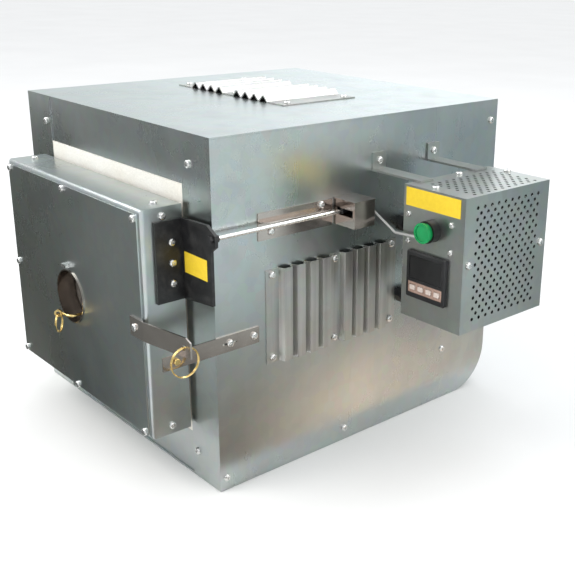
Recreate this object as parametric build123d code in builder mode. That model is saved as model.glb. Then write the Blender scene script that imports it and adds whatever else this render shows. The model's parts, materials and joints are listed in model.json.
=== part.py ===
"""Small front-loading electric kiln with a side control box.

Frame: origin at the centre of the casing's underside, +X to the right of the door,
+Y into the kiln, +Z up. All sizes in millimetres.
"""
import os

from build123d import *

# casing
BODY_W = 344
BODY_D = 368
BODY_H = 330
SHEET = 1.5
XR = BODY_W / 2
YF = -BODY_D / 2
YB = BODY_D / 2
REAR_R = 48
SEAM_L = -121.7
SEAM_R = 127.7
UPPER_Z = 283.5
LOWER_Z = 45

# firing chamber
CH_W = 150
CH_Z0 = 88
CH_Z1 = 222
CH_YF = YF + 34.3
CH_YB = 88
BOARD_YB = 128
MOUTH_GAP = 4

# door
DOOR_XL = -133
DOOR_XR = 132
DOOR_Z0 = 53
DOOR_Z1 = 268
DOOR_YB = YF - 4
DOOR_YF = YF - 46.3
SIGHT_X = -8
SIGHT_Z = 153
SIGHT_R = 27
EDGE_R = 4
RETURN = 14
HINGE_X = -139
HINGE_Y = -189.5
HINGE_PIN_R = 1.5
EYE_TURN = -43

# interlock
ROD_X = XR + 10
ROD_Z = 247.5
ROD_R = 1.9

# latch
LATCH_Z = 160
RING_X = XR + 11
RING_Z = 160
RING_R = 13.8
STUD_Z = 144.5

# control box
CB_X0 = 228
CB_X1 = 302
CB_Y0 = -12
CB_Y1 = 106
CB_Z0 = 151
CB_Z1 = 277
CB_SHEET = 1.2
CTRL_X = 261
CTRL_Z = 195
CTRL_W = 48
CTRL_H = 45
BUTTON_X = 264.5
BUTTON_Z = 240.5

FRONT = Vector(0, -1, 0)
RIGHT = Vector(1, 0, 0)
UP = Vector(0, 0, 1)
ALONG_X = Vector(1, 0, 0)
ALONG_Y = Vector(0, 1, 0)


def facing(x, y, z, normal):
    """Plane at a point, looking along normal."""
    across = ALONG_Y if abs(normal.X) > 0.5 else ALONG_X
    return Plane(origin=(x, y, z), x_dir=across, z_dir=normal)


def block(x0, x1, y0, y1, z0, z1):
    """Rectangular block between two corners."""
    with BuildPart() as made:
        with BuildSketch(Plane.XY.offset(z0)):
            with Locations(((x0 + x1) / 2, (y0 + y1) / 2)):
                Rectangle(x1 - x0, y1 - y0)
        extrude(amount=z1 - z0)
    return made.part


def rod_along(x, y, z, normal, radius, length):
    """Round bar from a point along normal."""
    with BuildPart() as made:
        with BuildSketch(facing(x, y, z, normal)):
            Circle(radius)
        extrude(amount=length)
    return made.part


def pan_screw(plane, head_r, head_h, shank_r, shank):
    """Pan-head screw with a cross recess, head on the plane."""
    with BuildPart() as made:
        with BuildSketch(Plane(origin=plane.origin, x_dir=plane.x_dir, z_dir=-plane.y_dir)):
            with BuildLine():
                Polyline((0, -shank), (shank_r, -shank), (shank_r, 0), (head_r, 0),
                         (head_r, head_h * 0.4))
                ThreePointArc((head_r, head_h * 0.4), (head_r * 0.82, head_h * 0.85),
                              (head_r * 0.45, head_h))
                Polyline((head_r * 0.45, head_h), (0, head_h), (0, -shank))
            make_face()
        revolve(axis=Axis(plane.origin, plane.z_dir))
        with BuildSketch(plane.offset(head_h)):
            Rectangle(head_r * 0.95, head_r * 0.24)
            Rectangle(head_r * 0.24, head_r * 0.95)
        extrude(amount=-head_h * 0.45, mode=Mode.SUBTRACT)
    return made.part


def screws(planes, head_r=3.5, head_h=2.4, shank_r=1.6, shank=6):
    """Group of separate screws."""
    with BuildPart() as made:
        for plane in planes:
            add(pan_screw(plane, head_r, head_h, shank_r, shank))
    return made.part


def pierced(solid, planes, radius=1.8, depth=5):
    """Solid with a round hole through it at each plane."""
    with BuildPart() as made:
        add(solid)
        for plane in planes:
            with BuildSketch(plane.offset(depth / 2)):
                Circle(radius)
            extrude(amount=-depth, mode=Mode.SUBTRACT)
    return made.part


def save(part, name):
    """Label the piece and write its STEP file."""
    part.label = name
    export_step(part, f"parts/{name}.step")


def rib_profile(total, flat, middle, height, sheet, slope):
    """Closed outline of a ribbed sheet: flat, four ribs, flat, four ribs, flat."""
    pitch = (total - 2 * flat - middle) / 8
    lean = pitch * slope
    top = [(0, sheet)]
    under = [(0, 0)]
    for start in (flat, flat + 4 * pitch + middle):
        for index in range(4):
            left = start + index * pitch + 0.6
            right = left + pitch - 1.2
            top += [(left, sheet), (left + lean, height), (right - lean, height),
                    (right, sheet)]
            under += [(left + sheet, 0), (left + lean + sheet, height - sheet),
                      (right - lean - sheet, height - sheet), (right - sheet, 0)]
    top.append((total, sheet))
    under.append((total, 0))
    return top + under[::-1] + [top[0]]


def ring_on(x, y, z, radius, wire, turn):
    """Ring hanging from a point, its plane turned about Z."""
    across = Vector(1, 0, 0).rotate(Axis.Z, turn)
    with BuildPart() as made:
        with BuildSketch(Plane(origin=(x, y, z), x_dir=UP, z_dir=across)):
            Circle(wire)
        revolve(axis=Axis((x, y, z - radius), Vector(0, 0, 1).cross(across)))
    return made.part


os.makedirs("parts", exist_ok=True)

# ---------------------------------------------------------------- casing
side_screw_planes = [facing(XR, y, z, RIGHT) for y, z in ((YF + 7, 13), (-32, 13), (112, 60),
                                                         (174, 308))]
front_screw_planes = [facing(x, YF, z, FRONT) for x, z in ((-132, 303), (139, 303), (137, 28),
                                                          (-132, 28))]
vent_side_planes = [facing(XR + 1.05, y, z, RIGHT) for y in (YF + 61.5, YF + 136.5, YF + 211.5)
                    for z in (118.5, 199)]
vent_top_planes = [facing(x, y, BODY_H + 1.05, UP) for x in (-108, -19, 70) for y in (-22, 54)]
guide_planes = [facing(XR + 1.2, YF + y, z, RIGHT) for y, z in ((61, 240), (119, 254.6))]
staple_planes = [facing(XR + 1.5, YF + y, 146, RIGHT) for y in (14, 40)]
foot_planes = [facing(XR + 2, y, 287, RIGHT) for y in (8, 84)]
gland_planes = [facing(XR, 45, z, RIGHT) for z in (142, 218)]

with BuildPart() as side_profile:
    with BuildSketch(Plane.YZ.offset(XR - SHEET)):
        with BuildLine():
            Polyline((YB - SHEET, REAR_R), (YB - SHEET, BODY_H - SHEET - 0.1),
                     (YF, BODY_H - SHEET - 0.1), (YF, SHEET + 0.1), (YB - REAR_R, SHEET + 0.1))
            RadiusArc((YB - REAR_R, SHEET + 0.1), (YB - SHEET, REAR_R), -REAR_R + 1.6)
        make_face()
    extrude(amount=SHEET)

right_planes = side_screw_planes + vent_side_planes + guide_planes + staple_planes + foot_planes
with BuildPart() as side_panel_right:
    add(pierced(side_profile.part, right_planes, depth=14))
    for plane in gland_planes:
        with BuildSketch(plane.offset(1)):
            Circle(6.2)
        extrude(amount=-4, mode=Mode.SUBTRACT)
    with BuildSketch(Plane.YZ.offset(XR - 3)):
        for centre in (YF + 99, YF + 174):
            with Locations((centre, 158.5)):
                with GridLocations(15, 0, 4, 1):
                    SlotOverall(60, 6, rotation=90)
    extrude(amount=5, mode=Mode.SUBTRACT)
save(side_panel_right.part, "side_panel_right")
save(side_profile.part.mirror(Plane.YZ), "side_panel_left")

with BuildPart() as top_panel:
    add(pierced(block(-XR, XR, YF, YB - SHEET, BODY_H - SHEET, BODY_H), vent_top_planes,
                depth=9))
    with BuildSketch(Plane.XY.offset(BODY_H - 3)):
        for centre in (-63.5, 25.5):
            with Locations((centre, 16)):
                with GridLocations(18.5, 0, 4, 1):
                    SlotOverall(60, 7, rotation=90)
    extrude(amount=5, mode=Mode.SUBTRACT)
save(top_panel.part, "top_panel")

save(block(-XR, XR, YF, YB - REAR_R, 0, SHEET), "base_pan")

with BuildPart() as back_panel:
    with BuildSketch(Plane.YZ.offset(-XR)):
        with BuildLine():
            Polyline((YB - SHEET, REAR_R), (YB - SHEET, BODY_H), (YB, BODY_H), (YB, REAR_R))
            RadiusArc((YB, REAR_R), (YB - REAR_R, 0), REAR_R)
            Line((YB - REAR_R, 0), (YB - REAR_R, SHEET))
            RadiusArc((YB - REAR_R, SHEET), (YB - SHEET, REAR_R), -REAR_R + SHEET)
        make_face()
    extrude(amount=BODY_W)
    with BuildSketch(facing(120, YB, 70, ALONG_Y).offset(1)):
        Circle(8.1)
    extrude(amount=-4, mode=Mode.SUBTRACT)
save(back_panel.part, "back_panel")

in_x = XR - SHEET - 0.1
with BuildPart() as front_flanges:
    for x0, x1 in ((-in_x, SEAM_L - 0.3), (SEAM_R + 0.3, in_x)):
        add(block(x0, x1, YF, YF + SHEET, SHEET + 0.1, BODY_H - SHEET - 0.1))
    add(block(143, 155, YF - 1.6, YF + 1, 272.4, 274.4))
save(pierced(front_flanges.part, front_screw_planes), "front_flanges")
with BuildPart() as front_panels:
    for z0, z1 in ((SHEET + 0.1, LOWER_Z), (UPPER_Z, BODY_H - SHEET - 0.1)):
        add(block(SEAM_L, SEAM_R, YF + 1.2, YF + 1.2 + SHEET, z0, z1))
save(front_panels.part, "front_panels")

# ---------------------------------------------------------------- lining
half = CH_W / 2
mouth_x = half + MOUTH_GAP
collar_y = (YF + 0.3, YF + 34)
with BuildPart() as fibre_collar:
    add(block(SEAM_L + 0.3, SEAM_R - 0.3, *collar_y, CH_Z1 + MOUTH_GAP, UPPER_Z - 0.3))
    add(block(SEAM_L + 0.3, SEAM_R - 0.3, *collar_y, LOWER_Z + 0.3, CH_Z0 - MOUTH_GAP))
    add(block(SEAM_L + 0.3, -mouth_x, *collar_y, CH_Z0 - 3.7, CH_Z1 + 3.7))
    add(block(mouth_x, SEAM_R - 0.3, *collar_y, CH_Z0 - 3.7, CH_Z1 + 3.7))
save(fibre_collar.part, "fibre_collar")

coil_z = [108, 139, 170, 201]
with BuildPart() as lining_left:
    add(block(-160, -half, CH_YF, BOARD_YB, CH_Z0, CH_Z1))
    with BuildSketch(Plane.YZ.offset(-half)):
        for height, far in zip(coil_z, (BOARD_YB + 1, CH_YB - 8, CH_YB - 8, BOARD_YB + 1)):
            with Locations(((CH_YF + 8 + far) / 2, height)):
                Rectangle(far - CH_YF - 8, 9)
        with Locations((CH_YF + 13, 154.5), (CH_YB - 13, 154.5)):
            Rectangle(9, 102)
    extrude(amount=-9, mode=Mode.SUBTRACT)
with BuildPart() as lining_sides:
    add(lining_left.part)
    add(lining_left.part.mirror(Plane.YZ))
save(lining_sides.part, "lining_sides")

tail_x = half + 4.5
tails = [(x, z) for x in (-tail_x, tail_x) for z in (coil_z[0], coil_z[-1])]
with BuildPart() as lining_slabs:
    add(block(-half + 0.3, half - 0.3, CH_YB, BOARD_YB, CH_Z0, CH_Z1))
    with BuildSketch(facing(0, BOARD_YB, 205, ALONG_Y)):
        Circle(4)
    extrude(amount=-60, mode=Mode.SUBTRACT)
    for z0, z1 in ((SHEET + 0.1, CH_Z0 - 0.3), (CH_Z1 + 0.3, 318)):
        add(block(-160, 160, CH_YF, BOARD_YB, z0, z1))
save(lining_slabs.part, "lining_slabs")

save(block(-60, 60, CH_YF + 15, CH_YB - 5, CH_Z0, CH_Z0 + 10), "hearth_plate")


def element(x):
    """Heating wire that zigzags up one wall, both tails through the back."""
    near = CH_YF + 13
    far = CH_YB - 13
    path = [(x, BOARD_YB + 16, coil_z[0]), (x, near, coil_z[0]), (x, near, coil_z[1]),
            (x, far, coil_z[1]), (x, far, coil_z[2]), (x, near, coil_z[2]),
            (x, near, coil_z[3]), (x, BOARD_YB + 16, coil_z[3])]
    with BuildPart() as made:
        with BuildLine():
            FilletPolyline(*path, radius=8)
        with BuildSketch(facing(x, BOARD_YB + 16, coil_z[0], ALONG_Y)):
            Circle(2)
        sweep()
    return made.part


with BuildPart() as heating_elements:
    add(element(-tail_x))
    add(element(tail_x))
save(heating_elements.part, "heating_elements")

with BuildPart() as element_terminals:
    for x, z in tails:
        with BuildSketch(Plane.XZ.offset(-BOARD_YB - 1)):
            with Locations((x, z)):
                RegularPolygon(7, 6)
                Circle(2.05, mode=Mode.SUBTRACT)
        extrude(amount=-14)
save(element_terminals.part, "element_terminals")

with BuildPart() as thermocouple:
    add(rod_along(0, BOARD_YB + 1, 205, ALONG_Y, 11, 20))
    add(rod_along(0, CH_YB - 30, 205, ALONG_Y, 3.5, BOARD_YB - CH_YB + 32))
save(thermocouple.part, "thermocouple")

with BuildPart() as mains_gland:
    with BuildSketch(facing(120, YB + 0.1, 70, ALONG_Y)):
        RegularPolygon(13, 6)
    extrude(amount=5)
    add(rod_along(120, YB - 8, 70, ALONG_Y, 8, 22))
    with BuildSketch(facing(120, YB + 14, 70, ALONG_Y)):
        Circle(4)
    extrude(amount=-22, mode=Mode.SUBTRACT)
save(mains_gland.part, "mains_gland")

# ---------------------------------------------------------------- vent covers
side_ribs = rib_profile(164, 14, 12, 6.5, 0.9, 0.16)
with BuildPart() as vent_cover_side:
    with BuildSketch(Plane.XY.offset(113)):
        with BuildLine():
            Polyline([(XR + 0.05 + v, YF + 54.5 + u) for u, v in side_ribs])
        make_face()
    extrude(amount=91)
save(pierced(vent_cover_side.part, vent_side_planes), "vent_cover_side")

top_ribs = rib_profile(191, 26, 17, 6.5, 1, 0.36)
with BuildPart() as vent_cover_top:
    with BuildSketch(Plane.XZ.offset(32)):
        with BuildLine():
            Polyline([(-114.5 + u, BODY_H + 0.05 + v) for u, v in top_ribs])
        make_face()
    extrude(amount=-96)
save(pierced(vent_cover_top.part, vent_top_planes), "vent_cover_top")

# ---------------------------------------------------------------- interlock
guide_y0 = YF + 47
guide_y1 = YF + 133
with BuildPart() as rod_guide:
    with BuildSketch(Plane.XZ.offset(-guide_y1)):
        with BuildLine():
            Polyline((XR, 233), (XR, 258.3), (XR + 1.2, 258.3), (XR + 1.2, 250.9),
                     (XR + 7.8, 250.9), (XR + 7.8, 249.9), (XR + 1.2, 249.9), (XR + 1.2, 233),
                     (XR, 233))
        make_face()
    extrude(amount=guide_y1 - guide_y0)
    with BuildSketch(Plane.XY.offset(249)):
        with BuildLine():
            Polyline((XR + 1.3, guide_y0 - 1), (XR + 9, guide_y0 - 1), (XR + 9, guide_y0 + 9),
                     (XR + 1.3, guide_y0 - 1))
        make_face()
    extrude(amount=3, mode=Mode.SUBTRACT)
save(pierced(rod_guide.part, guide_planes), "rod_guide")

hx0 = XR + 0.1
hx1 = XR + 30
hy0 = YF + 135
hy1 = YF + 160
with BuildPart() as switch_housing:
    add(block(hx0, hx1, hy0, hy1, 234, 258.3))
    add(block(hx0 + 1.2, hx1 - 1.2, hy0 + 1.2, hy1 - 1.2, 235.2, 260), mode=Mode.SUBTRACT)
    add(block(ROD_X - 4.5, hx1 - 3, hy0 - 1, hy0 + 3, ROD_Z - 3.4, ROD_Z + 3.4),
        mode=Mode.SUBTRACT)
    add(rod_along(XR + 22, hy1 - 3, 247, ALONG_Y, 1.3, 6), mode=Mode.SUBTRACT)
with BuildPart() as housing_sheets:
    add(switch_housing.part)
    add(block(XR + 0.1, hx1 + 0.5, hy0 - 1, hy1 + 0.5, 258.4, 259.6))
save(housing_sheets.part, "switch_housing")

with BuildPart() as microswitch:
    add(block(XR + 3, XR + 19, hy0 + 15, hy1 - 1.5, 240, 255))
    add(rod_along(ROD_X, hy0 + 14, ROD_Z, ALONG_Y, 2.2, 5), mode=Mode.SUBTRACT)
save(microswitch.part, "microswitch")
save(rod_along(ROD_X, hy0 + 12.2, ROD_Z, ALONG_Y, 2.15, 5), "switch_plunger")

lead_start = (XR + 22, hy1 - 4, 247)
with BuildPart() as interlock_lead:
    with BuildLine():
        FilletPolyline(lead_start, (XR + 22, hy1 + 5, 246.5), (CB_X0 - 5, CB_Y0 - 5.5, 230.5),
                       (CB_X0 + 24, CB_Y0 - 5.5, 232.5), (CB_X0 + 24, CB_Y0 + 6, 232.5), radius=4)
    with BuildSketch(Plane(origin=lead_start, z_dir=(0, 9, -0.5))):
        Circle(1.1)
    sweep()
save(interlock_lead.part, "interlock_lead")

with BuildPart() as interlock_rod:
    add(rod_along(ROD_X, YF - 9.2, ROD_Z, ALONG_Y, ROD_R, 149.2))
save(interlock_rod.part, "interlock_rod")
with BuildPart() as rod_tip:
    add(rod_along(ROD_X, YF + 136, ROD_Z, ALONG_Y, 2.7, 10.8))
    add(rod_along(ROD_X, YF + 130, ROD_Z, ALONG_Y, ROD_R + 0.02, 10.2), mode=Mode.SUBTRACT)
with BuildPart() as rod_fittings:
    add(rod_tip.part)
    for y in (YF - 10.2, YF - 3.8):
        with BuildSketch(facing(ROD_X, y, ROD_Z, ALONG_Y)):
            RegularPolygon(3.4, 6)
        extrude(amount=2.6)
        add(rod_along(ROD_X, max(y, YF - 9.2) - 0.02, ROD_Z, ALONG_Y, ROD_R + 0.02, 9),
            mode=Mode.SUBTRACT)
save(rod_fittings.part, "rod_fittings")

# ---------------------------------------------------------------- control box
bezel_y = CB_Y0 - 4
panel_planes = [facing(x, CB_Y0, z, FRONT) for x, z in ((234.8, 250), (286.8, 250), (234.8, 224.7),
                                                       (286.8, 224.7))]
with BuildPart() as control_panel:
    add(pierced(block(CB_X0, CB_X1, CB_Y0, CB_Y0 + CB_SHEET, CB_Z0, CB_Z1), panel_planes))
    with BuildSketch(facing(CTRL_X, CB_Y0, CTRL_Z, FRONT).offset(1)):
        Rectangle(CTRL_W - 3.4, CTRL_H - 3.4)
    extrude(amount=-4, mode=Mode.SUBTRACT)
    add(rod_along(BUTTON_X, CB_Y0 - 1, BUTTON_Z, ALONG_Y, 8.3, 5), mode=Mode.SUBTRACT)
    add(rod_along(CB_X0 + 24, CB_Y0 - 1, 232.5, ALONG_Y, 1.4, 5), mode=Mode.SUBTRACT)
save(control_panel.part, "control_panel")

with BuildPart() as control_chassis:
    with BuildSketch(Plane.XZ.offset(-CB_Y0 - CB_SHEET - 0.1)):
        with BuildLine():
            Polyline((CB_X1 - 1.4, CB_Z0), (CB_X0, CB_Z0), (CB_X0, CB_Z1 - 1.4),
                     (CB_X0 + 1.2, CB_Z1 - 1.4), (CB_X0 + 1.2, CB_Z0 + 1.2),
                     (CB_X1 - 1.4, CB_Z0 + 1.2), (CB_X1 - 1.4, CB_Z0))
        make_face()
    extrude(amount=-(CB_Y1 - CB_Y0 - CB_SHEET - 1.4))
    add(rod_along(CB_X0 - 2, 45, 218, RIGHT, 6.2, 6), mode=Mode.SUBTRACT)
    add(block(CB_X0, CB_X1 - 1.4, CB_Y1 - 1.2, CB_Y1, CB_Z0, CB_Z1 - 1.4))
save(control_chassis.part, "control_chassis")

cover_side_planes = [facing(CB_X1, y, z, RIGHT) for y, z in ((-5, 215.5), (98, 217.5))]
cover_top_planes = [facing(x, y, CB_Z1, UP) for x, y in ((258.5, -3.5), (233.5, 56), (255, 101.5))]
with BuildPart() as control_cover:
    with BuildSketch(Plane.XZ.offset(-CB_Y0 - CB_SHEET - 0.1)):
        with BuildLine():
            Polyline((CB_X0, CB_Z1 - 1.2), (CB_X0, CB_Z1), (CB_X1, CB_Z1), (CB_X1, CB_Z0),
                     (CB_X1 - 1.2, CB_Z0), (CB_X1 - 1.2, CB_Z1 - 1.2), (CB_X0, CB_Z1 - 1.2))
        make_face()
    extrude(amount=-(CB_Y1 - CB_Y0 - CB_SHEET - 0.1))
    with BuildSketch(Plane.YZ.offset(CB_X1 - 3)):
        with Locations((47, 214.5)):
            with GridLocations(9.5, 10.4, 10, 11):
                Circle(1.7)
            with GridLocations(9.5, 10.4, 9, 10):
                Circle(1.7)
    extrude(amount=5, mode=Mode.SUBTRACT)
    with BuildSketch(Plane.XY.offset(CB_Z1 - 3)):
        with Locations((270.5, 49)):
            with GridLocations(10, 9.5, 6, 10):
                Circle(1.7)
            with GridLocations(10, 9.5, 5, 9):
                Circle(1.7)
    extrude(amount=5, mode=Mode.SUBTRACT)
cover_planes = cover_side_planes + cover_top_planes
save(pierced(control_cover.part, cover_planes, depth=10), "control_cover")

with BuildPart() as hanging_brackets:
    for y in (8, 84):
        with BuildSketch(Plane.XZ.offset(-y - 8.5)):
            with BuildLine():
                Polyline((XR + 0.05, CB_Z1 + 0.1), (XR + 0.05, 295), (XR + 2, 295),
                         (XR + 2, CB_Z1 + 2.1), (CB_X0 + 9, CB_Z1 + 2.1), (CB_X0 + 9, CB_Z1 + 0.1),
                         (XR + 0.05, CB_Z1 + 0.1))
            make_face()
        extrude(amount=17)
save(pierced(hanging_brackets.part, foot_planes), "hanging_brackets")

body_screws = (side_screw_planes + front_screw_planes + vent_side_planes + vent_top_planes
               + guide_planes + staple_planes + foot_planes)
save(screws(body_screws, shank=7), "casing_screws")
with BuildPart() as control_box_screws:
    add(screws(cover_planes, shank=5))
    add(screws(panel_planes, head_r=2.8, head_h=1.9, shank_r=1.5, shank=5))
save(control_box_screws.part, "control_box_screws")

with BuildPart() as conduit_glands:
    for x, z in ((XR + 0.1, 218), (CB_X0 - 6.1, 218), (XR + 0.1, 142)):
        with BuildSketch(facing(x, 45, z, RIGHT)):
            RegularPolygon(9, 6)
        extrude(amount=6)
    add(rod_along(XR - 6, 45, 218, RIGHT, 6, CB_X0 - XR + 14))
    add(rod_along(XR - 6, 45, 142, RIGHT, 6, 22))
    add(rod_along(XR - 8, 45, 218, RIGHT, 3.5, CB_X0 - XR + 20), mode=Mode.SUBTRACT)
    add(rod_along(XR + 4, 45, 142, RIGHT, 3.5, 14), mode=Mode.SUBTRACT)
save(conduit_glands.part, "conduit_glands")

with BuildPart() as controller:
    add(block(CTRL_X - CTRL_W / 2, CTRL_X + CTRL_W / 2, bezel_y, CB_Y0 - 0.1,
              CTRL_Z - CTRL_H / 2, CTRL_Z + CTRL_H / 2))
    fillet(controller.edges().filter_by(Axis.Y), 2)
    chamfer(controller.faces().sort_by(Axis.Y)[0].edges(), 1)
    add(block(CTRL_X - 22, CTRL_X + 22, CB_Y0 - 0.2, CB_Y0 + 62, CTRL_Z - 20.5, CTRL_Z + 20.5))
    add(block(CTRL_X - 20, CTRL_X + 20, bezel_y - 1, bezel_y + 1.5, CTRL_Z - 4, CTRL_Z + 18.5),
        mode=Mode.SUBTRACT)
    add(block(CTRL_X - 21, CTRL_X + 21, bezel_y - 1, bezel_y + 3.5, CTRL_Z - 17.5, CTRL_Z - 6.5),
        mode=Mode.SUBTRACT)
save(controller.part, "controller")
save(block(CTRL_X - 19.9, CTRL_X + 19.9, bezel_y + 0.4, bezel_y + 1.5, CTRL_Z - 3.9, CTRL_Z + 18.4),
     "controller_window")

key_x = [CTRL_X - 15 + index * 10 for index in range(4)]
key_z = CTRL_Z - 12
with BuildPart() as key_strip:
    add(block(CTRL_X - 20.9, CTRL_X + 20.9, bezel_y + 0.5, bezel_y + 3.5, key_z - 5.4, key_z + 5.4))
    for x in key_x:
        add(block(x - 3.6, x + 3.6, bezel_y - 1, bezel_y + 2.9, key_z - 2.6, key_z + 2.6),
            mode=Mode.SUBTRACT)
save(key_strip.part, "key_strip")
for number, x in enumerate(key_x, 1):
    with BuildPart() as key:
        add(block(x - 3.2, x + 3.2, bezel_y - 0.3, bezel_y + 2, key_z - 2.2, key_z + 2.2))
        fillet(key.edges().filter_by(Axis.Y), 0.8)
    save(key.part, f"key_{number}")

with BuildPart() as button_body:
    add(rod_along(BUTTON_X, CB_Y0 - 9, BUTTON_Z, ALONG_Y, 10.3, 8.9))
    add(rod_along(BUTTON_X, CB_Y0 - 0.2, BUTTON_Z, ALONG_Y, 8, 32))
    add(rod_along(BUTTON_X, CB_Y0 - 10, BUTTON_Z, ALONG_Y, 8.5, 6.5), mode=Mode.SUBTRACT)
save(button_body.part, "button_body")
with BuildPart() as green_button:
    add(rod_along(BUTTON_X, CB_Y0 - 13.5, BUTTON_Z, ALONG_Y, 8.2, 6.3))
    with BuildSketch(facing(BUTTON_X, CB_Y0 - 14.5, BUTTON_Z, FRONT)):
        Circle(9.4)
        Circle(7.4, mode=Mode.SUBTRACT)
    extrude(amount=-2.2)
save(green_button.part, "green_button")

save(block(CB_X0 + 3, CB_X1 - 5.5, CB_Y0 - 0.35, CB_Y0 - 0.05, 258, 275), "panel_label")
save(block(CB_X0 + 3, CB_X0 + 29, 54, 99, 160, 205), "relay_block")

# ---------------------------------------------------------------- body side of the latch
with BuildPart() as latch_staple:
    add(block(XR, XR + 1.5, YF - 34, YF + 46, 138, 153.5))
    add(block(XR, XR + 1.5, YF - 54, YF - 33, 138, 150.5))
    with BuildSketch(facing(XR + 1.5, YF + 14, 146, RIGHT)):
        SlotOverall(16, 1.8)
    extrude(amount=-2, mode=Mode.SUBTRACT)
    add(rod_along(XR - 1, YF - 41, STUD_Z, RIGHT, 1.7, 4), mode=Mode.SUBTRACT)
save(pierced(latch_staple.part, staple_planes), "latch_staple")

with BuildPart() as latch_stud:
    add(rod_along(XR - 1.2, YF - 41, STUD_Z, RIGHT, 1.65, 3.2))
    add(rod_along(XR + 1.55, YF - 41, STUD_Z, RIGHT, 3, 2.2))
    add(rod_along(XR - 1.6, YF - 41, STUD_Z, RIGHT, 2.8, 1.5))
    fillet(latch_stud.edges().filter_by(GeomType.CIRCLE).sort_by(Axis.X)[-1], 0.9)
save(latch_stud.part, "latch_stud")

# ---------------------------------------------------------------- door
door_front_planes = [facing(x, DOOR_YF, z, FRONT) for x, z in (
    (-125, 260.5), (-8, 260.5), (123, 259.5), (-125, 160), (-125, 61), (-8, 58.5), (122, 58.5))]
door_side_planes = [facing(DOOR_XR, YF - 23.7, z, RIGHT) for z in (260, 61.5)]
door_top_planes = [facing(x, YF - 22.3, DOOR_Z1, UP) for x in (-118, 117)]
handle_planes = [facing(DOOR_XR + 3, YF - 17, z, RIGHT) for z in (198.7, 217.5, 236.3)]
strip_plane = [facing(118, DOOR_YF - 1.6, LATCH_Z, FRONT)]
door_holes = (door_front_planes + door_side_planes + door_top_planes + handle_planes + strip_plane)

cover_y = DOOR_YF + SHEET
with BuildPart() as door_cover:
    with BuildSketch(facing(0, cover_y, 0, FRONT)):
        with Locations(((DOOR_XL + DOOR_XR) / 2, (DOOR_Z0 + DOOR_Z1) / 2)):
            RectangleRounded(DOOR_XR - DOOR_XL - 2 * EDGE_R, DOOR_Z1 - DOOR_Z0 - 2 * EDGE_R, 1)
        with Locations((SIGHT_X, SIGHT_Z)):
            Circle(SIGHT_R + 0.2, mode=Mode.SUBTRACT)
    extrude(amount=SHEET)
save(pierced(door_cover.part, door_holes, depth=8), "door_cover")

frame_yf = cover_y + 0.1
with BuildPart() as side_wall:
    add(block(DOOR_XR - RETURN, DOOR_XR, frame_yf, DOOR_YB, DOOR_Z0, DOOR_Z1))
    rims = side_wall.faces().sort_by(Axis.Y)[0].edges()
    fillet(rims.sort_by(Axis.X)[1:], EDGE_R)
    add(block(DOOR_XR - RETURN - 1, DOOR_XR - SHEET, frame_yf + SHEET, DOOR_YB + 1,
              DOOR_Z0 - 1, DOOR_Z1 + 1), mode=Mode.SUBTRACT)
with BuildPart() as cross_wall:
    add(block(DOOR_XL + SHEET + 0.1, DOOR_XR - SHEET - 0.1, frame_yf + SHEET + 0.1, DOOR_YB,
              DOOR_Z1 - SHEET, DOOR_Z1))
    add(block(DOOR_XL + RETURN + 0.1, DOOR_XR - RETURN - 0.1, frame_yf, DOOR_YB,
              DOOR_Z1 - RETURN, DOOR_Z1))
    rim = cross_wall.faces().sort_by(Axis.Y)[0].edges().sort_by(Axis.Z)[-1]
    fillet(rim, EDGE_R)
    add(block(DOOR_XL + RETURN, DOOR_XR - RETURN, frame_yf + SHEET, DOOR_YB + 1,
              DOOR_Z1 - RETURN - 1, DOOR_Z1 - SHEET), mode=Mode.SUBTRACT)
middle_x = Plane.YZ.offset((DOOR_XL + DOOR_XR) / 2)
middle_z = Plane.XY.offset((DOOR_Z0 + DOOR_Z1) / 2)
with BuildPart() as door_frame:
    add(side_wall.part)
    add(side_wall.part.mirror(middle_x))
    add(cross_wall.part)
    add(cross_wall.part.mirror(middle_z))
save(pierced(door_frame.part, door_holes, depth=10), "door_frame")
save(screws(door_front_planes + door_side_planes + door_top_planes + handle_planes + strip_plane,
            shank=4), "door_screws")

with BuildPart() as door_lining:
    add(block(DOOR_XL + 7, DOOR_XR - 7, cover_y + 6, DOOR_YB, DOOR_Z0 + 7, DOOR_Z1 - 7))
    add(block(-half, half, DOOR_YB - 0.1, YF + 7, CH_Z0, CH_Z1))
    add(rod_along(SIGHT_X, cover_y, SIGHT_Z, ALONG_Y, SIGHT_R + 0.2, 60), mode=Mode.SUBTRACT)
save(door_lining.part, "door_lining")

with BuildPart() as sight_tube:
    add(rod_along(SIGHT_X, DOOR_YF - 1.2, SIGHT_Z, ALONG_Y, SIGHT_R, 54))
    add(rod_along(SIGHT_X, DOOR_YF - 2, SIGHT_Z, ALONG_Y, SIGHT_R - 1.2, 60), mode=Mode.SUBTRACT)
save(sight_tube.part, "sight_tube")

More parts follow.
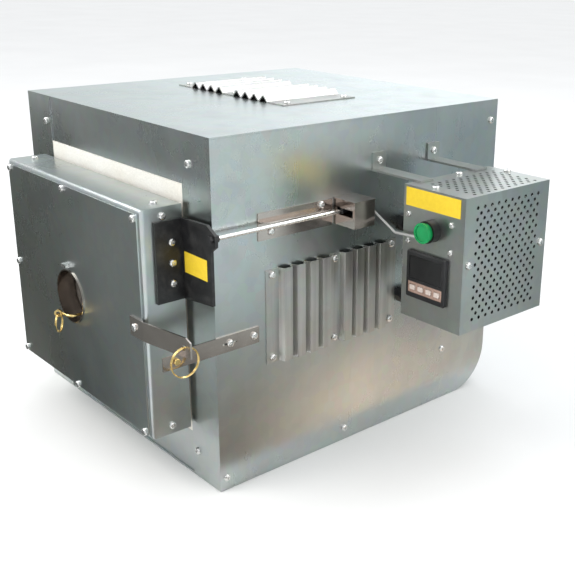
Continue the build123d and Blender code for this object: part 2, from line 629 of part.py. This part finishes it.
with BuildPart() as hinge_leaves_body:
    for z in (80, 210):
        add(block(-166, HINGE_X, YF - 1.5, YF - 0.1, z, z + 36))
        for low in (z, z + 24.2):
            add(block(HINGE_X - 3.5, HINGE_X, HINGE_Y, YF - 0.1, low, low + 11.8))
            add(rod_along(HINGE_X, HINGE_Y, low, UP, 3.5, 11.8))
        add(block(HINGE_X - 5, HINGE_X + 6, HINGE_Y - 6, YF - 0.05, z + 11.8, z + 24.2),
            mode=Mode.SUBTRACT)
        add(rod_along(HINGE_X, HINGE_Y, z - 1, UP, HINGE_PIN_R + 0.05, 38), mode=Mode.SUBTRACT)
save(hinge_leaves_body.part, "hinge_leaves_body")
with BuildPart() as hinge_leaves_door:
    for z in (80, 210):
        add(rod_along(HINGE_X, HINGE_Y, z + 12.1, UP, 3.5, 11.8))
        add(block(HINGE_X, DOOR_XL - 0.1, HINGE_Y - 3.5, HINGE_Y - 2, z + 12.1, z + 23.9))
        add(block(DOOR_XL - 1.6, DOOR_XL - 0.1, HINGE_Y - 26, HINGE_Y - 2, z + 2, z + 34))
        add(rod_along(HINGE_X, HINGE_Y, z - 1, UP, HINGE_PIN_R + 0.05, 38), mode=Mode.SUBTRACT)
save(hinge_leaves_door.part, "hinge_leaves_door")
with BuildPart() as hinge_pins:
    for z in (80, 210):
        add(rod_along(HINGE_X, HINGE_Y, z - 1, UP, HINGE_PIN_R, 38.3))
        add(rod_along(HINGE_X, HINGE_Y, z + 36.3, UP, 2.6, 1.4))
save(hinge_pins.part, "hinge_pins")

with BuildPart() as handle_bracket:
    add(block(DOOR_XR + 0.1, DOOR_XR + 3, YF - 33, DOOR_YB, 182, 255.8))
    with BuildSketch(facing(0, DOOR_YB, 0, FRONT)):
        with BuildLine():
            Polyline((DOOR_XR + 0.1, 182), (XR + 7.5, 187), (XR + 7.5, 236), (XR + 14.5, 241),
                     (XR + 14.5, 251), (XR + 2, 258), (DOOR_XR + 0.1, 255.8), (DOOR_XR + 0.1, 182))
        make_face()
    extrude(amount=3)
    add(rod_along(ROD_X, YF - 10, ROD_Z, ALONG_Y, ROD_R + 0.1, 10), mode=Mode.SUBTRACT)
save(pierced(handle_bracket.part, handle_planes, depth=10), "handle_bracket")
save(block(DOOR_XR + 7, XR + 1.5, DOOR_YB - 3.35, DOOR_YB - 3.05, 208, 227), "handle_label")

with BuildPart() as latch_strip:
    with BuildSketch(Plane.XY.offset(LATCH_Z - 9)):
        with BuildLine():
            Polyline((DOOR_XR - 22, DOOR_YF - 0.1), (DOOR_XR, DOOR_YF - 0.1),
                     (XR + 19.2, DOOR_YF + 10), (XR + 18.9, DOOR_YF + 8.5),
                     (DOOR_XR, DOOR_YF - 1.6), (DOOR_XR - 22, DOOR_YF - 1.6),
                     (DOOR_XR - 22, DOOR_YF - 0.1))
        make_face()
    extrude(amount=18)
    with BuildSketch(facing(0, DOOR_YF - 5, 0, FRONT)):
        with BuildLine():
            Polyline((XR + 13, LATCH_Z + 9.1), (XR + 20, LATCH_Z + 9.1), (XR + 20, LATCH_Z + 5),
                     (XR + 13, LATCH_Z + 9.1))
        make_face()
    extrude(amount=-30, mode=Mode.SUBTRACT)
    add(rod_along(RING_X, DOOR_YF - 8, RING_Z - 0.6, ALONG_Y, 2.6, 30), mode=Mode.SUBTRACT)
save(pierced(latch_strip.part, strip_plane), "latch_strip")

save(ring_on(RING_X, DOOR_YF + 7.8, RING_Z, RING_R, 1.2, 90), "latch_ring")

# ---------------------------------------------------------------- sight hole bung
eye_z = 138.3
eye_y = YF - 60
across_eye = Vector(1, 0, 0).rotate(Axis.Z, EYE_TURN)
with BuildPart() as sight_bung:
    add(rod_along(SIGHT_X, DOOR_YF + 17, SIGHT_Z, ALONG_Y, SIGHT_R - 1.6, 20))
    fillet(sight_bung.edges().filter_by(GeomType.CIRCLE).sort_by(Axis.Y)[0], 2)
    add(rod_along(SIGHT_X + 15, DOOR_YF + 16, eye_z, ALONG_Y, 1.35, 12), mode=Mode.SUBTRACT)
save(sight_bung.part, "sight_bung")
with BuildPart() as bung_pull:
    with BuildLine():
        FilletPolyline((SIGHT_X + 15, DOOR_YF + 27, eye_z), (SIGHT_X + 15, eye_y + 4, eye_z),
                       (SIGHT_X - 1 + 4 * across_eye.X, eye_y - 4 * across_eye.Y, eye_z), radius=6)
    with BuildSketch(facing(SIGHT_X + 15, DOOR_YF + 27, eye_z, ALONG_Y)):
        Circle(1.3)
    sweep()
    with BuildSketch(Plane(origin=(SIGHT_X - 1, eye_y, eye_z), x_dir=UP, z_dir=across_eye)):
        Circle(3.8)
    extrude(amount=1.1, both=True)
    with BuildSketch(Plane(origin=(SIGHT_X - 1, eye_y, eye_z), x_dir=UP, z_dir=across_eye)):
        Circle(2)
    extrude(amount=8, both=True, mode=Mode.SUBTRACT)
save(bung_pull.part, "bung_pull")
save(ring_on(SIGHT_X - 1, eye_y, eye_z - 0.4, 9.5, 1.0, EYE_TURN), "bung_ring")
save(block(-15, -5, DOOR_YF - 4.5, DOOR_YF - 0.1, 183, 186), "sight_tab")
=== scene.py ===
"""Small front-loading electric kiln: materials, detail pieces, light and camera."""
import json
import math

import bmesh
import bpy
from mathutils import Matrix, Vector


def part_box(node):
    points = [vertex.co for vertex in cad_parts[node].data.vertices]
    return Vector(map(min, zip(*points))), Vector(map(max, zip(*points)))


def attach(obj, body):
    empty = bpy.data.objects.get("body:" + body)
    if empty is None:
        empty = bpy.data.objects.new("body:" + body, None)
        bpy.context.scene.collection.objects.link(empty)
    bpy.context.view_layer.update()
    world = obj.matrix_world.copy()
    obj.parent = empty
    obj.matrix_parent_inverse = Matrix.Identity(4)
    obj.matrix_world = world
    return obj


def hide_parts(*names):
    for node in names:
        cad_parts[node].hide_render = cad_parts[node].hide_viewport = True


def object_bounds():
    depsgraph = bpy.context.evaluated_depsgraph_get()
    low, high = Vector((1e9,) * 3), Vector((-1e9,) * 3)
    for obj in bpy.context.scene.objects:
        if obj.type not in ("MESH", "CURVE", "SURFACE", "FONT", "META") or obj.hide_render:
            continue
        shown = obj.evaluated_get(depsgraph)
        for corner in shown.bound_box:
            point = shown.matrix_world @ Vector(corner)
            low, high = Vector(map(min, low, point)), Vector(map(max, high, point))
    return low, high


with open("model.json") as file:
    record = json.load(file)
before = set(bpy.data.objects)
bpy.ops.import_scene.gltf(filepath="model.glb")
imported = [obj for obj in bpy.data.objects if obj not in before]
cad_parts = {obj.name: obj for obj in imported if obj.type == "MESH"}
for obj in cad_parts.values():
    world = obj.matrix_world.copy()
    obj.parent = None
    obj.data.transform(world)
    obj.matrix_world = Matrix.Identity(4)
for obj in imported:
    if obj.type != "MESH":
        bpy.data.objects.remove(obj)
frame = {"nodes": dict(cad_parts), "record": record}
cad_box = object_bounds()
nodes = frame["nodes"]

MM = 0.001

# ------------------------------------------------------------------ camera
CAMERA_AT = Vector((0.8004, -0.6000, 0.4726))
CAMERA_TARGET = Vector((0.1133, 0.0377, 0.1650))
CAMERA_ROLL = math.radians(0.98)
LENS = 57.88
SHIFT = (-0.122, -0.049)

camera_data = bpy.data.cameras.new("camera")
camera_data.sensor_width = 36
camera_data.lens = LENS
camera_data.shift_x, camera_data.shift_y = SHIFT
camera_data.clip_start = 0.01
camera = bpy.data.objects.new("camera", camera_data)
bpy.context.scene.collection.objects.link(camera)
aim = (CAMERA_TARGET - CAMERA_AT).to_track_quat("-Z", "Y").to_matrix()
turn = aim @ Matrix.Rotation(CAMERA_ROLL, 3, "Z")
camera.matrix_world = Matrix.Translation(CAMERA_AT) @ turn.to_4x4()
bpy.context.scene.camera = camera


# ------------------------------------------------------------------ materials
def fill_ramp(node, stops):
    """Colour ramp stops from (place, colour or grey) pairs."""
    elements = node.color_ramp.elements
    while len(elements) < len(stops):
        elements.new(0.5)
    for element, (place, color) in zip(elements, stops):
        element.position = place
        element.color = (*color, 1) if isinstance(color, tuple) else (color,) * 3 + (1,)


class Paint:
    """A Principled material with helpers for procedural detail in metres."""

    def __init__(self, name, color, metallic=0.0, roughness=0.5, **sockets):
        self.mat = bpy.data.materials.new(name)
        self.mat.use_nodes = True
        self.tree = self.mat.node_tree
        self.shader = self.tree.nodes["Principled BSDF"]
        self.shader.inputs["Base Color"].default_value = (*color, 1)
        self.shader.inputs["Metallic"].default_value = metallic
        self.shader.inputs["Roughness"].default_value = roughness
        for key, value in sockets.items():
            self.shader.inputs[key.replace("_", " ")].default_value = value
        self.coord = self.tree.nodes.new("ShaderNodeTexCoord").outputs["Object"]

    def stretched(self, scale):
        """Object coordinates scaled per axis."""
        node = self.tree.nodes.new("ShaderNodeMapping")
        node.inputs["Scale"].default_value = scale
        self.tree.links.new(self.coord, node.inputs["Vector"])
        return node.outputs["Vector"]

    def noise(self, scale, detail=3, rough=0.55, distort=0.0):
        """Noise with its own scale per axis, in cells per metre."""
        node = self.tree.nodes.new("ShaderNodeTexNoise")
        node.inputs["Scale"].default_value = 1
        node.inputs["Detail"].default_value = detail
        node.inputs["Roughness"].default_value = rough
        node.inputs["Distortion"].default_value = distort
        vector = scale if isinstance(scale, tuple) else (scale, scale, scale)
        self.tree.links.new(self.stretched(vector), node.inputs["Vector"])
        return node.outputs["Fac"]

    def cells(self, scale):
        """Random tone per cell, in cells per metre."""
        node = self.tree.nodes.new("ShaderNodeTexVoronoi")
        node.inputs["Scale"].default_value = scale
        self.tree.links.new(self.coord, node.inputs["Vector"])
        return node.outputs["Color"]

    def ramp(self, value, stops):
        """Colour ramp from (place, colour or grey) stops."""
        node = self.tree.nodes.new("ShaderNodeValToRGB")
        fill_ramp(node, stops)
        self.tree.links.new(value, node.inputs["Fac"])
        return node.outputs["Color"]

    def span(self, value, low, high, start=0.3, end=0.7):
        """Value between start and end, stretched to run from low to high."""
        node = self.tree.nodes.new("ShaderNodeMapRange")
        for key, number in (("From Min", start), ("From Max", end), ("To Min", low),
                            ("To Max", high)):
            node.inputs[key].default_value = number
        self.tree.links.new(value, node.inputs["Value"])
        return node.outputs["Result"]

    def mix(self, a, b, factor, blend="MIX"):
        """Two colours blended; each may be a socket or a constant."""
        node = self.tree.nodes.new("ShaderNodeMix")
        node.data_type = "RGBA"
        node.blend_type = blend
        for socket, value in ((node.inputs[0], factor), (node.inputs[6], a), (node.inputs[7], b)):
            if isinstance(value, bpy.types.NodeSocket):
                self.tree.links.new(value, socket)
            else:
                socket.default_value = (*value, 1) if isinstance(value, tuple) else value
        return node.outputs[2]

    def math(self, kind, a, b):
        """Sum, product or other operation on two values."""
        node = self.tree.nodes.new("ShaderNodeMath")
        node.operation = kind
        for socket, value in zip(node.inputs, (a, b)):
            if isinstance(value, bpy.types.NodeSocket):
                self.tree.links.new(value, socket)
            else:
                socket.default_value = value
        return node.outputs[0]

    def axis(self, letter):
        """One coordinate of the object, in metres."""
        node = self.tree.nodes.new("ShaderNodeSeparateXYZ")
        self.tree.links.new(self.coord, node.inputs[0])
        return node.outputs[letter]

    def color(self, socket):
        self.tree.links.new(socket, self.shader.inputs["Base Color"])

    def rough(self, socket):
        self.tree.links.new(socket, self.shader.inputs["Roughness"])

    def bump(self, height, distance, strength=1.0):
        """Relief on top of any that the shader has already."""
        node = self.tree.nodes.new("ShaderNodeBump")
        node.inputs["Strength"].default_value = strength
        node.inputs["Distance"].default_value = distance
        self.tree.links.new(height, node.inputs["Height"])
        old = self.shader.inputs["Normal"].links
        if old:
            self.tree.links.new(old[0].from_socket, node.inputs["Normal"])
        self.tree.links.new(node.outputs["Normal"], self.shader.inputs["Normal"])


ROLLED = (260, 260, 5)


def sheet_steel(name, light, dark, rough_low, rough_high, brushed):
    """Zinc-coated sheet: faint spangle, soft clouding, rolled streaks and handling marks."""
    paint = Paint(name, light, metallic=1.0, roughness=rough_low)
    cloud = paint.noise(5, detail=4, distort=0.6)
    streaks = paint.noise(ROLLED, detail=3)
    spangle = paint.cells(110)
    base = paint.ramp(cloud, [(0.3, dark), (0.7, light)])
    base = paint.mix(base, spangle, 0.035, "OVERLAY")
    base = paint.mix(base, paint.ramp(streaks, [(0.35, 0.82), (0.65, 1.0)]), brushed, "MULTIPLY")
    marks = paint.noise(30, detail=4, rough=0.55, distort=0.2)
    stained = paint.ramp(marks, [(0.50, 1.0), (0.80, 0.80)])
    base = paint.mix(base, stained, 0.4, "MULTIPLY")
    paint.color(base)
    worn = paint.span(cloud, rough_low, rough_high)
    worn = paint.math("ADD", worn, paint.span(streaks, -0.06 * brushed, 0.06 * brushed))
    worn = paint.math("ADD", worn, paint.span(marks, 0.0, 0.05, 0.45, 0.8))
    paint.rough(worn)
    paint.bump(streaks, 0.00002 * brushed)
    paint.bump(paint.noise(5, detail=1), 0.0006, 0.35)
    return paint.mat


def bright_steel():
    """Polished strip with brushing and a warm tarnish."""
    paint = Paint("bright_steel", (0.66, 0.62, 0.58), metallic=1.0, roughness=0.16)
    brush = paint.noise((30, 30, 900), detail=3)
    cloud = paint.noise(16, detail=4)
    base = paint.ramp(cloud, [(0.3, (0.40, 0.35, 0.32)), (0.7, (0.56, 0.51, 0.47))])
    paint.color(paint.mix(base, paint.ramp(brush, [(0.3, 0.85), (0.7, 1.0)]), 0.4, "MULTIPLY"))
    paint.rough(paint.span(cloud, 0.12, 0.26))
    paint.bump(brush, 0.00001)
    return paint.mat


def screw_steel():
    """Plated fasteners and rod with small scuffs."""
    paint = Paint("screw_steel", (0.80, 0.80, 0.79), metallic=1.0, roughness=0.2)
    marks = paint.noise(300, detail=3)
    paint.color(paint.ramp(marks, [(0.3, (0.62, 0.62, 0.60)), (0.65, (0.86, 0.86, 0.85))]))
    paint.rough(paint.span(marks, 0.16, 0.34))
    return paint.mat


def fibre():
    """White ceramic-fibre board with short fibres and a little scorching."""
    paint = Paint("fibre", (0.90, 0.87, 0.79), roughness=0.95)
    strands = paint.noise((420, 900, 420), detail=5, rough=0.7)
    blotch = paint.noise(14, detail=4)
    base = paint.ramp(blotch, [(0.3, (0.90, 0.85, 0.75)), (0.65, (0.98, 0.96, 0.90))])
    paint.color(paint.mix(base, paint.ramp(strands, [(0.3, 0.85), (0.65, 1.0)]), 0.5, "MULTIPLY"))
    paint.bump(strands, 0.0005)
    paint.bump(paint.noise(120, detail=4), 0.0008, 0.6)
    return paint.mat


def ceramic():
    """Dark fired refractory with pores."""
    paint = Paint("ceramic", (0.16, 0.14, 0.12), roughness=0.85)
    grain = paint.noise(260, detail=6, rough=0.7)
    paint.color(paint.ramp(grain, [(0.3, (0.055, 0.048, 0.042)), (0.7, (0.20, 0.175, 0.15))]))
    paint.bump(grain, 0.0006)
    return paint.mat


def heater_wire():
    """Resistance wire with a dull oxide scale."""
    paint = Paint("heater_wire", (0.13, 0.12, 0.12), metallic=0.8, roughness=0.6)
    scale = paint.noise(500, detail=4)
    paint.color(paint.ramp(scale, [(0.3, (0.07, 0.065, 0.06)), (0.7, (0.24, 0.22, 0.20))]))
    return paint.mat


def brass():
    """Polished brass with tarnished patches."""
    paint = Paint("brass", (0.83, 0.62, 0.25), metallic=1.0, roughness=0.18)
    tarnish = paint.noise(180, detail=4)
    paint.color(paint.ramp(tarnish, [(0.3, (0.60, 0.40, 0.12)), (0.6, (0.88, 0.68, 0.30))]))
    paint.rough(paint.span(tarnish, 0.32, 0.14))
    return paint.mat


def black_paint():
    """Powder coat with a fine orange peel."""
    paint = Paint("black_paint", (0.012, 0.012, 0.013), roughness=0.36)
    peel = paint.noise(700, detail=2)
    dust = paint.noise(90, detail=6, rough=0.7)
    paint.color(paint.ramp(dust, [(0.45, (0.010, 0.010, 0.011)), (0.8, (0.045, 0.044, 0.042))]))
    paint.rough(paint.span(dust, 0.30, 0.48))
    paint.bump(peel, 0.00006)
    return paint.mat


def plastic(name, low, high, roughness, grain=900):
    """Moulded plastic with a fine spark-eroded texture."""
    paint = Paint(name, high, roughness=roughness)
    tone = paint.noise(60, detail=4)
    paint.color(paint.ramp(tone, [(0.3, low), (0.7, high)]))
    paint.rough(paint.span(tone, roughness * 0.85, roughness * 1.2))
    paint.bump(paint.noise(grain, detail=2), 0.00003)
    return paint.mat


def yellow_plate():
    """Blank film plate: plain yellow with light scuffs."""
    paint = Paint("yellow_plate", (0.93, 0.62, 0.03), roughness=0.38)
    scuff = paint.noise(240, detail=5, rough=0.7)
    paint.color(paint.ramp(scuff, [(0.3, (0.88, 0.60, 0.03)), (0.6, (0.95, 0.68, 0.04))]))
    paint.rough(paint.span(scuff, 0.30, 0.48))
    return paint.mat


MATERIALS = {
    "galvanised": sheet_steel("galvanised", (0.53, 0.57, 0.56), (0.43, 0.46, 0.455), 0.24, 0.32, 0.08),
    # vent_sheet is the same zinc sheet as the body. Its pale tone is set lighter as a painted
    # highlight for the shine on the ribs; its heavier rolled streaks are the sheet's own
    "vent_sheet": sheet_steel("vent_sheet", (0.60, 0.60, 0.575), (0.40, 0.40, 0.38), 0.30, 0.40, 0.9),
    "box_sheet": sheet_steel("box_sheet", (0.50, 0.52, 0.50), (0.38, 0.40, 0.38), 0.28, 0.40, 0.15),
    "bright_steel": bright_steel(),
    "screw_steel": screw_steel(),
    "fibre": fibre(),
    "ceramic": ceramic(),
    "heater_wire": heater_wire(),
    "brass": brass(),
    "black_paint": black_paint(),
    "black_plastic": plastic("black_plastic", (0.010, 0.010, 0.011), (0.022, 0.022, 0.024), 0.42),
    "display": plastic("display", (0.004, 0.004, 0.005), (0.008, 0.008, 0.009), 0.08, 2000),
    "keypad": plastic("keypad", (0.34, 0.22, 0.17), (0.46, 0.31, 0.25), 0.5),
    "key_plastic": plastic("key_plastic", (0.62, 0.52, 0.46), (0.74, 0.64, 0.58), 0.45),
    "green_plastic": plastic("green_plastic", (0.005, 0.26, 0.07), (0.01, 0.36, 0.11), 0.22),
    "yellow_plate": yellow_plate(),
    "grey_lead": plastic("grey_lead", (0.36, 0.36, 0.35), (0.50, 0.50, 0.49), 0.5),
}
slot_of = {part["node"]: part["material_slot"] for part in frame["record"]["subparts"]}
for name, obj in nodes.items():
    for slot in obj.material_slots:
        slot.material = MATERIALS[slot_of[name]]

# ------------------------------------------------------------------ softened sheet edges
BEVELS = {
    "side_panel_right": 0.7, "side_panel_left": 0.7, "top_panel": 1.1, "back_panel": 0.7,
    "front_flanges": 0.5, "front_panels": 0.5, "door_cover": 0.7, "door_frame": 0.6,
    "fibre_collar": 0.8, "hearth_plate": 1.2, "lining_slabs": 0.8, "handle_bracket": 0.5,
    "latch_strip": 0.3, "latch_staple": 0.3, "rod_guide": 0.25, "switch_housing": 0.3,
    "hanging_brackets": 0.4, "microswitch": 0.4, "relay_block": 1.0, "control_panel": 0.3,
    "key_strip": 0.2, "interlock_rod": 0.4, "control_chassis": 0.3,
}
for name, width in BEVELS.items():
    bevel = nodes[name].modifiers.new("edge", "BEVEL")
    bevel.width = width * MM
    bevel.segments = 2
    bevel.limit_method = "ANGLE"
    bevel.angle_limit = math.radians(50)
    bevel.harden_normals = False


# ------------------------------------------------------------------ detail pieces
def finished(name, mesh, slot, body):
    """Object from a mesh, with its slot's material, riding on a body."""
    obj = bpy.data.objects.new(name, mesh)
    bpy.context.scene.collection.objects.link(obj)
    mesh.materials.append(MATERIALS[slot])
    for face in mesh.polygons:
        face.use_smooth = True
    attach(obj, body)
    return obj


def tube_mesh(name, points, radius, sides=10, closed=False):
    """Round tube along points, capped unless closed."""
    bm = bmesh.new()
    rings = []
    count = len(points)
    normal = None
    for index, point in enumerate(points):
        before = points[index - 1] if index or closed else points[0]
        after = points[(index + 1) % count] if index < count - 1 or closed else points[-1]
        along = (after - before).normalized()
        if normal is None:
            normal = along.orthogonal().normalized()
        normal = (normal - along * normal.dot(along)).normalized()
        side = along.cross(normal)
        ring = []
        for step in range(sides):
            angle = math.tau * step / sides
            ring.append(bm.verts.new(point + radius * (math.cos(angle) * normal
                                                       + math.sin(angle) * side)))
        rings.append(ring)
    for first, second in zip(rings, rings[1:] + (rings[:1] if closed else [])):
        for step in range(sides):
            bm.faces.new((first[step], first[(step + 1) % sides], second[(step + 1) % sides],
                          second[step]))
    if not closed:
        bm.faces.new(rings[0][::-1])
        bm.faces.new(rings[-1])
    bmesh.ops.recalc_face_normals(bm, faces=bm.faces)
    mesh = bpy.data.meshes.new(name)
    bm.to_mesh(mesh)
    bm.free()
    return mesh


# strand sizes are in radii of the plain ring's wire, the start angle in radians
RING_TURNS = 1.9
RING_STEPS = 96
RING_START = 2.2
STRAND_INSET = 1.45
STRAND_RADIUS = 0.55
STRAND_SPREAD = 1.02


def split_ring(name, node, body, wire):
    """Double-coil split ring in the place of a plain ring node."""
    low, high = (Vector(corner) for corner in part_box(node))
    centre = (low + high) / 2
    size = high - low
    radius = (high.z - low.z) / 2 - wire * STRAND_INSET
    side = Vector((size.x - 2 * wire, -max(size.y - 2 * wire, 0), 0)).normalized()
    depth = side.cross(Vector((0, 0, 1)))
    points = []
    for index in range(RING_STEPS + 1):
        share = index / RING_STEPS
        angle = math.tau * RING_TURNS * share + RING_START
        offset = (share - 0.5) * 2 * wire * STRAND_SPREAD
        points.append(centre + radius * (math.cos(angle) * Vector((0, 0, 1)) + math.sin(angle) * side)
                      + depth * offset)
    ring = finished(name, tube_mesh(name, points, wire * STRAND_RADIUS), "brass", body)
    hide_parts(node)


split_ring("latch_split_ring", "latch_ring", "latch_ring_body", 1.2 * MM)
split_ring("bung_split_ring", "bung_ring", "bung_ring_body", 1.0 * MM)


GROOVE_END = 73 * MM
PLAIN_WIRE = 2 * MM
TAIL_FROM = 12 * MM
TAIL_RADIUS = 0.4 * MM
COIL_PITCH = 4.2 * MM
COIL_RADIUS = 3.0 * MM
COIL_WIRE = 0.65 * MM
STEPS_PER_TURN = 10


def element_coil(name, side):
    """Coiled heating wire lying in the wall grooves, tails straight out of the back."""
    low, high = (Vector(corner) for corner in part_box("heating_elements"))
    x = (high.x - PLAIN_WIRE) * side
    near, far, back = low.y + 2 * PLAIN_WIRE, GROOVE_END, high.y
    climb = (high.z - low.z - 2 * PLAIN_WIRE) / 3
    heights = [low.z + PLAIN_WIRE + index * climb for index in range(4)]
    bends = [(back, 0), (near, 0), (near, 1), (far, 1), (far, 2), (near, 2), (near, 3), (back, 3)]
    route = [Vector((x, y, heights[level])) for y, level in bends]
    lengths = [(b - a).length for a, b in zip(route, route[1:])]
    total = sum(lengths)
    points = []
    count = int(total / COIL_PITCH * STEPS_PER_TURN)
    for index in range(count + 1):
        gone = total * index / count
        for start, end, length in zip(route, route[1:], lengths):
            if gone <= length + 1e-9:
                break
            gone -= length
        along = (end - start).normalized()
        spot = start + along * gone
        across = Vector((1, 0, 0))
        upright = along.cross(across)
        reach = TAIL_RADIUS if spot.y > far + TAIL_FROM else COIL_RADIUS
        angle = math.tau * index / STEPS_PER_TURN
        points.append(spot + reach * (math.cos(angle) * across + math.sin(angle) * upright))
    return tube_mesh(name, points, COIL_WIRE, sides=6)


for number, side in enumerate((-1, 1)):
    coil = finished(f"heating_coil_{number + 1}", element_coil(f"coil_{number}", side),
                    "heater_wire", "kiln")
    if number == 0:
        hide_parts("heating_elements")

# ------------------------------------------------------------------ stage and light
FLOOR_HALF = 30.0
FLOOR_DROP = 0.4 * MM


def level(low_x, low_y, high_x, high_y, z):
    """Corners of a level rectangle."""
    return [(low_x, low_y, z), (high_x, low_y, z), (high_x, high_y, z), (low_x, high_y, z)]


floor_mesh = bpy.data.meshes.new("floor")
floor_mesh.from_pydata(level(-FLOOR_HALF, -FLOOR_HALF, FLOOR_HALF, FLOOR_HALF, 0), [],
                       [(0, 1, 2, 3)])
floor = bpy.data.objects.new("floor", floor_mesh)
floor.location.z = cad_box[0][2] - FLOOR_DROP
bpy.context.scene.collection.objects.link(floor)
floor_paint = Paint("floor", (0.92, 0.92, 0.915), roughness=1.0, Specular_IOR_Level=0.0)
floor_paint.color(floor_paint.ramp(floor_paint.noise(3, detail=4),
                                   [(0.3, (0.89, 0.888, 0.88)), (0.7, (0.92, 0.918, 0.91))]))
floor_mesh.materials.append(floor_paint.mat)


def reflection_card(name, corners):
    """Flat card that only shows in the metal, and the paint that gives its tone."""
    mesh = bpy.data.meshes.new(name)
    mesh.from_pydata(corners, [], [(0, 1, 2, 3)])
    card = bpy.data.objects.new(name, mesh)
    bpy.context.scene.collection.objects.link(card)
    paint = Paint(name, (0, 0, 0), roughness=1.0, Emission_Strength=1.0, Specular_IOR_Level=0.0)
    mesh.materials.append(paint.mat)
    card.visible_camera = False
    card.visible_diffuse = False
    card.visible_shadow = False
    return paint


def glow(paint, socket):
    """Send a colour to the card's emission."""
    paint.tree.links.new(socket, paint.shader.inputs["Emission Color"])


CARD_LIFT = 4 * MM
TOP_CARD_LEFT = (-2.4, -0.2)
TOP_CARD_RIGHT = (-0.5, 2.4)
TOP_CARD_HEIGHT = 1.1
EDGE_CARD_HALF = 0.45
EDGE_CARD_AT = 1.5
EDGE_CARD_POWER = 7


def front_card():
    """Dark floor that the door's front mirrors, with soft upright bands."""
    paint = reflection_card("front_card", level(-2.5, -2.5, 0.17, -0.25, CARD_LIFT))
    sheared = paint.math("MULTIPLY", paint.axis("Y"), -2.17)
    along = paint.math("ADD", paint.axis("X"), paint.math("ADD", sheared, -0.5))
    along = paint.span(along, 0, 1, -0.17, 0.17)
    glow(paint, paint.ramp(along, [(0.0, (0.10, 0.105, 0.09)), (0.22, (0.19, 0.18, 0.155)),
                                   (0.42, (0.05, 0.058, 0.055)), (0.68, (0.05, 0.06, 0.058)),
                                   (1.0, (0.26, 0.275, 0.27))]))


def right_card():
    """Surface that the right side mirrors: warm close by, cool and pale further off."""
    paint = reflection_card("right_card", level(0.2, -0.3, 2.4, 2.4, CARD_LIFT))
    along = paint.math("ADD", paint.axis("Y"), paint.math("MULTIPLY", paint.axis("X"), -0.95))
    along = paint.span(along, 0, 1, -0.34, 0.02)
    high = paint.ramp(along, [(0.0, (0.98, 1.10, 1.12)), (0.45, (0.74, 0.86, 0.88)),
                              (1.0, (0.22, 0.30, 0.33))])
    middle = paint.ramp(along, [(0.0, (0.30, 0.31, 0.30)), (0.5, (0.26, 0.27, 0.27)),
                                (1.0, (0.38, 0.37, 0.35))])
    low = paint.ramp(along, [(0.0, (0.34, 0.29, 0.24)), (0.45, (1.25, 1.02, 0.82)),
                             (1.0, (0.74, 0.68, 0.62))])
    lower = paint.mix(low, middle, paint.span(paint.axis("X"), 0, 1, 0.26, 0.42))
    glow(paint, paint.mix(lower, high, paint.span(paint.axis("X"), 0, 1, 0.42, 0.72)))


def top_card():
    """Upright card behind the kiln that the top mirrors, brighter to the right."""
    left, right = TOP_CARD_LEFT, TOP_CARD_RIGHT
    paint = reflection_card("top_card", [(*left, 0), (*right, 0), (*right, TOP_CARD_HEIGHT),
                                         (*left, TOP_CARD_HEIGHT)])
    glow(paint, paint.ramp(paint.span(paint.axis("X"), 0, 1, left[0], right[0]),
                           [(0.0, (0.46, 0.47, 0.44)), (0.35, (0.95, 1.02, 1.03)),
                            (0.6, (1.45, 1.54, 1.58)), (1.0, (1.9, 1.95, 2.0))]))


def edge_card(name, x, y):
    """Bright card that only folded edges, screw heads and rings turn far enough to catch."""
    paint = reflection_card(name, level(x - EDGE_CARD_HALF, y - EDGE_CARD_HALF,
                                        x + EDGE_CARD_HALF, y + EDGE_CARD_HALF, EDGE_CARD_AT))
    paint.shader.inputs["Emission Strength"].default_value = EDGE_CARD_POWER
    glow(paint, paint.ramp(paint.noise(2), [(0.3, 0.9), (0.7, 1.0)]))


front_card()
right_card()
top_card()
edge_card("edge_card_right", 0.75, 1.1)
edge_card("edge_card_left", -1.3, -0.7)


def area_light(name, place, target, size, power, color):
    """Soft rectangular light aimed at a point."""
    data = bpy.data.lights.new(name, "AREA")
    data.shape = "RECTANGLE"
    data.size, data.size_y = size
    data.energy = power
    data.color = color
    obj = bpy.data.objects.new(name, data)
    obj.location = place
    obj.rotation_euler = (Vector(target) - Vector(place)).to_track_quat("-Z", "Y").to_euler()
    bpy.context.scene.collection.objects.link(obj)


area_light("key", (-0.6, -1.6, 1.9), (0, 0, 0.15), (1.4, 1.0), 26, (1.0, 0.98, 0.95))
area_light("right_fill", (2.0, 0.4, 0.9), (0.1, 0, 0.2), (1.6, 1.2), 9, (1.0, 0.97, 0.92))
area_light("sky", (-0.3, 1.0, 2.2), (0, 0, 0.3), (2.2, 1.4), 12, (0.86, 0.93, 1.0))

SKY_STOPS = [(0.0, (0.62, 0.65, 0.67)), (0.2, (0.66, 0.70, 0.72)), (0.5, (1.0, 1.02, 1.04)),
             (1.0, (1.15, 1.16, 1.18))]
SKY_STRENGTH = 0.95


def studio_world():
    """Pale surroundings, brighter overhead than at the horizon."""
    world = bpy.data.worlds.new("studio")
    world.use_nodes = True
    bpy.context.scene.world = world
    tree = world.node_tree
    direction = tree.nodes.new("ShaderNodeTexCoord").outputs["Generated"]
    split = tree.nodes.new("ShaderNodeSeparateXYZ")
    tree.links.new(direction, split.inputs[0])
    sky = tree.nodes.new("ShaderNodeValToRGB")
    fill_ramp(sky, SKY_STOPS)
    tree.links.new(split.outputs["Z"], sky.inputs["Fac"])
    background = tree.nodes["Background"]
    tree.links.new(sky.outputs["Color"], background.inputs["Color"])
    background.inputs["Strength"].default_value = SKY_STRENGTH


studio_world()
bpy.context.scene.view_settings.view_transform = "Standard"
